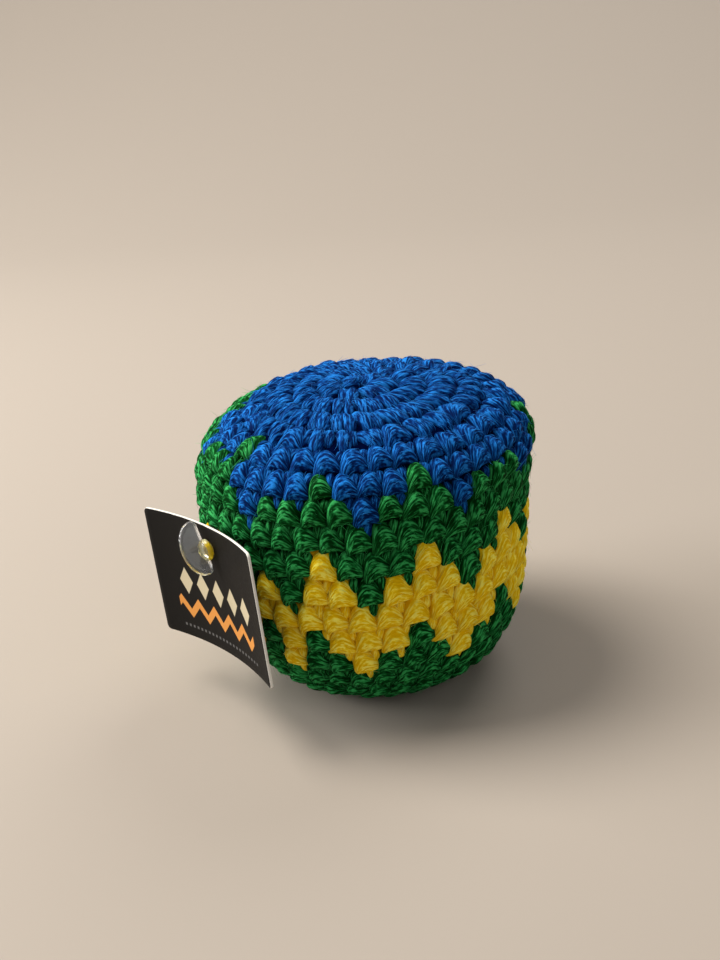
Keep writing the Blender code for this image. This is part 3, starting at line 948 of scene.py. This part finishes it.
def card_print():
    """Dark laminated print: a row of cream lozenges over an orange zigzag and a row of
    fine grey dots."""
    material, tree, surface = new_material("card_print")
    x, y, _ = split_up(tree, uv_map(tree, "flat"))
    grain = paper_grain(tree, surface, 2500, 0.25)
    wave = math(tree, "PINGPONG", x, 2.4)

    def away(height):
        return math(tree, "ABSOLUTE", math(tree, "SUBTRACT", y, height))

    middle = math(tree, "ABSOLUTE", plus(tree, x, 0.7))
    within = soft_mask(tree, middle, 12.0)
    lozenge = plus(tree, wave, times(tree, away(-8.2), 0.72))
    five = soft_mask(tree, math(tree, "ABSOLUTE", x), 12.0)
    lozenges = times(tree, soft_mask(tree, lozenge, 1.8), five)
    line = math(tree, "ABSOLUTE", math(tree, "SUBTRACT", math(tree, "SUBTRACT", y, wave), -14.4))
    zigzag = times(tree, soft_mask(tree, line, 0.85), within)
    dot = math(tree, "MAXIMUM", math(tree, "PINGPONG", x, 0.55), away(-17.0))
    dots = times(tree, soft_mask(tree, dot, 0.24), within)
    ink = mix(tree, grain, (0.005, 0.0045, 0.004), (0.011, 0.0095, 0.008))
    for shape, strength, colour in (
        (lozenges, 0.92, (0.55, 0.47, 0.31)),
        (zigzag, 0.92, (0.66, 0.27, 0.06)),
        (dots, 0.7, (0.16, 0.155, 0.15)),
    ):
        ink = mix(tree, times(tree, shape, strength), ink, colour)
    rough = plus(tree, times(tree, grain, 0.2), 0.42)
    given = {"Base Color": ink, "Roughness": rough, "Specular IOR Level": 0.05}
    set_inputs(tree, surface, given)
    return material


def card_paper(name, first, second, roughness):
    """Bare card in two tones: its cut edge or its unprinted side."""
    material, tree, surface = new_material(name)
    grain = paper_grain(tree, surface, 4000, 0.4)
    given = {"Base Color": mix(tree, grain, first, second), "Roughness": roughness}
    set_inputs(tree, surface, given)
    return material


def card_tag():
    materials = [
        card_print(),
        card_paper("card_edge", (0.66, 0.62, 0.54), (0.88, 0.85, 0.78), 0.9),
        card_paper("card_back", (0.012, 0.010, 0.009), (0.024, 0.021, 0.018), 0.5),
    ]
    add_piece("card_tag", card_mesh(), materials, "tag", ["hang_tag"])


# Clear fastener

def blade_mesh():
    """Half round thumb blade: half an ellipse over a flat root with round corners, thick
    at the root and thin at the rim, with a low rib up its middle on both sides."""
    sides, rings = 72, 14
    angle = circle(sides)
    across, up = np.cos(angle), np.sin(angle)
    high = (np.abs(across / GRIP_RADIUS) ** 2 + np.abs(up / (GRIP_RISE - GRIP_CORNER)) ** 2) ** -0.5
    low = (np.abs(across / GRIP_RADIUS) ** 8 + np.abs(up / GRIP_CORNER) ** 8) ** -0.125
    reach = np.where(up > 0, high, low)
    share = np.sin(np.linspace(0, np.pi / 2, rings + 1)[1:])
    share = np.concatenate([share[:-1], share[::-1]])[:, None]
    side = np.concatenate([np.full(rings - 1, 1), [0], np.full(rings - 1, -1)])[:, None]
    x = share * reach * across
    rise = GRIP_CORNER + share * reach * up
    part = rise / GRIP_RISE
    thickness = GRIP_ROOT_THICKNESS * (1 - part) + GRIP_RIM_THICKNESS * part
    edge = np.sqrt(np.maximum(1 - share**10, 0))
    rib = GRIP_RIB_HEIGHT * np.exp(-((x / GRIP_RIB_WIDTH) ** 2)) * (1 - part)
    y = side * (thickness / 2 + rib) * edge
    points = np.stack([GRIP_OFFSET + x, y, GRIP_START + rise], -1)
    low_part = GRIP_CORNER / GRIP_RISE
    thickness = GRIP_ROOT_THICKNESS * (1 - low_part) + GRIP_RIM_THICKNESS * low_part
    middle = thickness / 2 + GRIP_RIB_HEIGHT
    poles = [[GRIP_OFFSET, k * middle, GRIP_START + GRIP_CORNER] for k in (1, -1)]
    return np.concatenate([points.reshape(-1, 3), poles]), capsule_faces(1, len(share), sides)


def closed_turn(profile, sides):
    """Points and faces of a turned solid from its (radius, height) profile."""
    angle = circle(sides)
    radius, height = np.array(profile).T[:, :, None]
    rings = np.stack([radius * np.cos(angle), radius * np.sin(angle), height + 0 * angle], -1)
    poles = [[0, 0, profile[0][1]], [0, 0, profile[-1][1]]]
    points = np.concatenate([rings.reshape(-1, 3), poles])
    return points, capsule_faces(1, len(profile), sides)


def rounded(start, end, steps, square=2.0):
    """Quarter of a superellipse from one (radius, height) point to another."""
    angle = np.linspace(0, np.pi / 2, steps)
    share = np.stack([1 - np.cos(angle) ** (2 / square), np.sin(angle) ** (2 / square)], 1)
    return [tuple(point) for point in start + (np.array(end) - start) * share]


def temporary(name, points, faces, roll):
    """Object for a Boolean, with its faces turned out."""
    mesh = make_mesh(name, fitted(points, roll), *faces)
    bm = bmesh.new()
    bm.from_mesh(mesh)
    bmesh.ops.recalc_face_normals(bm, faces=bm.faces)
    bm.to_mesh(mesh)
    bm.free()
    return put(name, mesh)


def clear_plastic():
    """Clear moulded plastic with a faint haze. Within the hub, told by its radius about the hole and its
    height over it, it is less clear and painted yellow as a painted refraction of the yellow yarn seen
    through it, most so on the right."""
    material, tree, surface = new_material("clear_plastic")
    rough = plus(tree, times(tree, own_noise(tree, 700, 3), 0.10), 0.01)
    apart = vector_math(tree, "SUBTRACT", own_place(tree), HOLE_CENTRE)
    across = vector_math(tree, "CROSS_PRODUCT", apart, CARD_NORMAL)
    reach = vector_math(tree, "LENGTH", across, None, "Value")
    height = vector_math(tree, "DOT_PRODUCT", apart, CARD_NORMAL, "Value")
    rightward = np.cross([0, 0, 1], CARD_NORMAL)
    beside = vector_math(tree, "DOT_PRODUCT", apart, rightward, "Value")
    masks = (
        soft_mask(tree, math(tree, "DIVIDE", value, MM), edge)
        for value, edge in ((reach, 1.95), (height, 1.4))
    )
    hub = times(tree, *masks)
    # Painted refraction: the yellow yarn seen through the hub, painted into its colour, stronger to the
    # right
    given = {"From Min": 0.3, "From Max": 1.0, "Value": math(tree, "DIVIDE", beside, MM)}
    refraction_share = add_node(tree, "MapRange", given).outputs["Result"]
    painted_refraction = mix(tree, refraction_share, (0.93, 0.88, 0.50), (0.93, 0.66, 0.01))
    set_inputs(tree, surface, {
        "Base Color": mix(tree, hub, (0.93, 0.94, 0.94), painted_refraction),
        "Roughness": rough,
        "Transmission Weight": math(tree, "SUBTRACT", 0.92, times(tree, hub, 0.34)),
        "IOR": 1.46,
    })
    return material


def clear_fastener():
    """One moulding: thumb blade, domed hub, shaft and the cross bar behind the cover."""
    roll = np.radians(GRIP_TURN_DEGREES)
    blade_points, blade_faces = blade_mesh()
    top = (HUB_NOSE_RADIUS * 0.2, HUB_TOP)
    profile = [(SHAFT_RADIUS * 0.9, BAR_PLACE), (SHAFT_RADIUS, BAR_PLACE + 0.1 * MM)]
    profile += [(SHAFT_RADIUS, HUB_START - 0.05 * MM), (SHAFT_RADIUS + 0.1 * MM, HUB_START)]
    profile += [(HUB_RADIUS - 0.1 * MM, HUB_START), (HUB_RADIUS, HUB_START + 0.1 * MM)]
    profile += rounded((HUB_RADIUS, HUB_START + HUB_RIM), top, 12, 1.7)
    shaft_points, shaft_faces = closed_turn(profile, 32)
    end = BAR_HALF_LENGTH - BAR_RADIUS
    turns = np.linspace(0.1, np.pi / 2, 7)
    cap = [(BAR_RADIUS * np.sin(turn), -end - BAR_RADIUS * np.cos(turn)) for turn in turns]
    bar_profile = cap + [(radius, -height) for radius, height in reversed(cap)]
    bar_points, bar_faces = closed_turn(bar_profile, 24)
    bar_points = bar_points[:, [2, 1, 0]] + np.array([0, 0, BAR_PLACE])
    whole = temporary("clear_fastener", blade_points, blade_faces, roll)
    tools = (("shaft", shaft_points, shaft_faces), ("bar", bar_points, bar_faces))
    for name, points, faces in tools:
        tool = temporary(name, points, faces, roll)
        joint = whole.modifiers.new(name, "BOOLEAN")
        joint.operation = "UNION"
        joint.solver = "EXACT"
        joint.object = tool
        bpy.context.view_layer.update()
        seen = whole.evaluated_get(bpy.context.evaluated_depsgraph_get())
        mesh = bpy.data.meshes.new_from_object(seen)
        whole.modifiers.clear()
        whole.data = mesh
        bpy.data.objects.remove(tool, do_unlink=True)
    mesh.shade_smooth()
    mesh.set_sharp_from_angle(angle=np.radians(50))
    bpy.data.objects.remove(whole, do_unlink=True)
    add_piece("clear_fastener", mesh, [clear_plastic()], "fastener", ["tag_fastener"])


# Inside: liner, its tie, the sand and the closing knot

def dented(points, deeper):
    """Points drawn in where the fastener's bar turns, by a soft minimum with a round
    pocket's floor, which rises steeply outside its radius."""
    axes = axes_at(0.0)
    local = (points - HOLE_CENTRE) @ axes.T
    beyond = np.hypot(local[:, 0], local[:, 1]) - POCKET_RADIUS - deeper
    pocket = POCKET_BOTTOM - deeper + 2.5 * np.maximum(beyond, 0)
    lower = np.minimum(local[:, 2], pocket)
    apart = np.abs(local[:, 2] - pocket) / POCKET_SOFTNESS
    local[:, 2] = lower - POCKET_SOFTNESS * np.log1p(np.exp(-apart))
    return HOLE_CENTRE + local @ axes


def inner_side(depth):
    """Profile from the base's centre to the shoulder at a depth below the outline."""
    distance = np.linspace(WHOLE_WAY, SHOULDER_TURN * PITCH, 90)
    radius, height, out, up = outline_at(distance)
    radius = np.maximum(radius - depth * out, 0.02 * MM * np.arange(1, 91))
    return np.stack([radius, np.maximum(height - depth * up, depth)], 1)


def plain_fabric(name, first, second, threads):
    """Plain weave: two crossed sets of waves over the cloth's own map in millimetres."""
    material, tree, surface = new_material(name)
    split = split_up(tree, uv_map(tree, "cloth"))
    waves = [
        math(tree, "SINE", times(tree, split[axis], threads * FULL_TURN / 2))
        for axis in ("X", "Y")
    ]
    weave = plus(tree, times(tree, times(tree, *waves), 0.5), 0.5)
    relief(tree, surface, weave, 0.6, 0.1 * MM)
    given = {"Base Color": mix(tree, weave, first, second), "Roughness": 0.9}
    set_inputs(tree, surface, given)
    return material


def liner():
    """Cloth pouch with a wall, turned about the middle, with pleats that deepen to the
    gathered neck and a dent for the fastener's bar."""
    sides = 168
    neck = [
        (NECK_BASE_RADIUS, NECK_BASE),
        (NECK_WAIST_RADIUS, TIE_HEIGHT),
        (NECK_MOUTH_RADIUS, NECK_TOP),
    ]
    share = np.linspace(0, 2, 17)
    neck = np.stack([np.interp(share, (0, 1, 2), column) for column in zip(*neck)], 1)
    inset = np.array([LINER_WALL, 0])
    shoulder = inner_side(LINER_DEPTH)[-1]
    slope = np.linspace(0, 1, 12)[1:-1, None]
    top = shoulder + (neck[0] - shoulder) * slope
    outer = np.concatenate([inner_side(LINER_DEPTH), top, neck])
    inner_neck = neck - inset
    inner_neck[0, 1] -= LINER_WALL
    inner_top = top - np.array([0, LINER_WALL])
    inner = np.concatenate([inner_side(LINER_DEPTH + LINER_WALL), inner_top, inner_neck])
    profile = np.concatenate([outer, inner[::-1]])
    points, faces = closed_turn(profile, sides)
    radius = np.hypot(points[:, 0], points[:, 1])
    angle = np.arctan2(points[:, 1], points[:, 0])
    near_neck = np.clip((points[:, 2] - shoulder[1] + 3 * MM) / (3 * MM), 0, 1)
    fold = np.cos(PLEATS * angle + 0.6 * np.sin(3 * angle))
    outward = np.clip(1 - (radius - NECK_MOUTH_RADIUS) / (9 * MM), 0, 1) * near_neck
    mouth = np.clip((points[:, 2] - TIE_HEIGHT) / (NECK_TOP - TIE_HEIGHT), 0, 1)
    sunk = PLEAT_DEPTH * (fold - 1) * outward
    at_neck = radius < NECK_MOUTH_RADIUS + 0.2 * MM
    points[:, 2] += np.where(at_neck, 0, sunk)
    wave = np.where(at_neck & (near_neck > 0), sunk * (0.5 + mouth), 0)
    points[:, :2] *= (1 + wave / np.maximum(radius, MM))[:, None]
    mesh = make_mesh("liner", dented(points, 0), *faces)
    way = np.repeat(np.arange(len(profile)) * 0.8, sides)
    way = np.concatenate([way, [0, way[-1]]])
    add_uv(mesh, "cloth", np.stack([angle * radius / MM, way], 1))
    cloth = plain_fabric("liner_cloth", (0.52, 0.50, 0.44), (0.68, 0.66, 0.60), 2.0)
    piece = add_piece("liner_cloth_pouch", mesh, [cloth], "bag", ["liner_pouch"])


def liner_thread():
    """Ring of two-ply thread round the neck. Its section has a lobe for each ply and
    turns along the ring a whole number of times."""
    rings, sides, twists = 220, 14, 24
    turn = circle(rings)[:, None]
    angle = circle(sides)[None, :]
    section = TIE_RADIUS * (0.74 + 0.26 * np.abs(np.cos(angle + twists * turn)) ** 0.7)
    reach = NECK_WAIST_RADIUS + TIE_GAP + TIE_RADIUS + section * np.cos(angle)
    lift = TIE_HEIGHT + section * np.sin(angle)
    points = np.stack([reach * np.cos(turn), reach * np.sin(turn), lift + 0 * turn], -1)
    mesh = make_mesh("liner_thread", points.reshape(-1, 3), ring_faces(rings, sides))
    along = NECK_WAIST_RADIUS / MM * turn + 0 * angle
    add_uv(mesh, "cloth", np.stack([along, 0.5 * (angle + twists * turn)], -1).reshape(-1, 2))
    thread = plain_fabric("liner_thread", (0.62, 0.61, 0.56), (0.84, 0.83, 0.78), 1.6)
    add_piece("liner_thread_ring", mesh, [thread], "bag", ["liner_tie"])


def sand_body():
    """Sand that fills the liner, a little heaped, with a grain in colour and relief."""
    side = inner_side(SAND_DEPTH)
    share = np.linspace(0, 1, 26)[1:, None]
    top = side[-1] + (np.array([0.05 * MM, SAND_TOP]) - side[-1]) * share
    points, faces = closed_turn(np.concatenate([side, top]), 128)
    mesh = make_mesh("sand", dented(points, SAND_DEPTH - LINER_DEPTH), *faces)
    material, tree, surface = new_material("sand")
    grain = add_node(tree, "TexVoronoi", {"Scale": 2600, "Vector": own_place(tree)}).outputs
    relief(tree, surface, grain["Distance"], 0.8, 0.2 * MM).invert = True
    tone = split_up(tree, grain["Color"])["X"]
    colour = mix(tree, tone, (0.30, 0.20, 0.11), (0.72, 0.60, 0.42))
    set_inputs(tree, surface, {"Base Color": colour, "Roughness": 0.9})
    add_piece("sand_body", mesh, [material], "bag", ["sand_filling"])


def knot():
    """Drawn up end of the yarn: a strand that winds in from the opening's edge to its
    middle and goes up into the bag."""
    rings, sides, plies, ply_depth = 90, 20, 6, 0.14
    share = np.linspace(0, 1, rings)
    winding = FULL_TURN * KNOT_TURNS * share
    reach = (KNOT_RADIUS - KNOT_YARN) * (1 - share**1.5)
    rise = KNOT_YARN + (KNOT_HEIGHT - 2 * KNOT_YARN) * share**3
    path = np.stack([reach * np.cos(winding), reach * np.sin(winding), rise], -1)[None]
    angle = circle(sides)
    lobe = np.abs(np.cos(plies * angle / 2 + 9 * share[:, None]))
    ends = np.minimum(1, np.sqrt(1.0001 - np.abs(2 * share - 1) ** 14))[:, None]
    width = KNOT_YARN * ends * (1 - ply_depth * (1 - lobe**0.7))
    points = tubes(path, width[None])[0]
    mesh = make_mesh("knot", points, *capsule_faces(1, rings, sides))
    along = np.concatenate([np.repeat(share * 22, sides), [0, 22]])
    across = np.concatenate([np.tile(np.abs(angle - np.pi), rings) * KNOT_YARN / MM, [0, 0]])
    add_uv(mesh, "fibre", np.stack([along, across], 1))
    add_values(mesh, "depth", np.zeros(len(points)))
    add_values(mesh, "tone", np.full(len(points), 0.5))
    yarn = bpy.data.materials["green_yarn_fibres"]
    piece = add_piece("knot_yarn", mesh, [yarn], "bag", ["closing_knot"])


# Stage, light and view

def floor():
    """Pale floor that sweeps up behind as a quarter circle to an upright backdrop."""
    sweep = np.linspace(0, np.pi / 2, 40)
    end = FLOOR_END + FLOOR_BEND
    y = np.concatenate([[FLOOR_START], FLOOR_END + FLOOR_BEND * np.sin(sweep), [end]])
    z = np.concatenate([[0.0], FLOOR_BEND * (1 - np.cos(sweep)), [BACKDROP_TOP]])
    count = len(y)
    side = np.repeat([-FLOOR_HALF_WIDTH, FLOOR_HALF_WIDTH], count)
    points = np.stack([side, np.tile(y, 2), np.tile(z, 2)], 1)
    step = np.arange(count - 1)
    quads = np.stack([step, step + count, step + count + 1, step + 1], 1)
    mesh = make_mesh("floor", points, quads)
    material, tree, surface = new_material("pale_floor")
    set_inputs(tree, surface, {"Base Color": (0.35, 0.300, 0.250), "Roughness": 0.9})
    mesh.materials.append(material)
    piece = put("floor", mesh)


def area_lamp(name, place, size, energy, colour):
    data = bpy.data.lights.new(name, "AREA")
    data.shape = "DISK"
    data.size = size
    data.energy = energy
    data.color = colour
    lamp = put(name, data)
    lamp.location = place
    lamp.rotation_euler = (Vector((0, 0, AIM_HEIGHT)) - Vector(place)).to_track_quat("-Z", "Y").to_euler()


def studio():
    """Warm key lamp from above and behind on the left, a lower one at the left side, a
    weak fill in front on the right, one behind on the right, and a pale sky all round."""
    world = bpy.data.worlds.new("studio")
    world.use_nodes = True
    bpy.context.scene.world = world
    sky = world.node_tree.nodes["Background"]
    sky.inputs["Color"].default_value = (0.80, 0.82, 0.85, 1)
    sky.inputs["Strength"].default_value = 0.28
    for name, given in LAMPS.items():
        area_lamp(name, *given)
    bpy.context.scene.view_settings.view_transform = "Standard"


def camera():
    """Camera of the fitted view. The fit leans the bag by the roll; here the bag stands
    upright and the camera's place and axes take the lean the other way."""
    rise = np.radians(VIEW_RISE_DEGREES)
    roll = np.radians(VIEW_ROLL_DEGREES)
    focal = FOCAL_SHARE * IMAGE_HEIGHT
    down = AIM_PIXEL[1] - IMAGE_HEIGHT / 2
    pitch = rise - np.arctan2(down, focal)
    pan = np.arctan2(AIM_PIXEL[0] - IMAGE_WIDTH / 2, np.hypot(focal, down))
    ahead = np.array([0, np.cos(pitch), -np.sin(pitch)])
    right = np.array([1.0, 0, 0])
    up = np.cross(right, ahead)
    ahead, right = (
        ahead * np.cos(pan) - right * np.sin(pan),
        right * np.cos(pan) + ahead * np.sin(pan),
    )
    back = VIEW_DISTANCE * np.array([0, -np.cos(rise), np.sin(rise)])
    upright = np.array([[np.cos(roll), 0, -np.sin(roll)], [0, 1, 0], [np.sin(roll), 0, np.cos(roll)]])
    axes = [upright @ axis for axis in (right, up, -ahead)]
    place = upright @ back + np.array([0, 0, AIM_HEIGHT])
    data = bpy.data.cameras.new("camera")
    data.lens = FOCAL_SHARE * data.sensor_width
    data.clip_start = 0.01
    item = put("camera", data)
    item.matrix_world = Matrix(
        [[axes[0][k], axes[1][k], axes[2][k], place[k]] for k in range(3)] + [[0, 0, 0, 1]]
    )
    bpy.context.scene.camera = item


camera()
studio()
floor()
crochet_cover()
crochet_ground()
card_tag()
clear_fastener()
liner()
liner_thread()
sand_body()
knot()
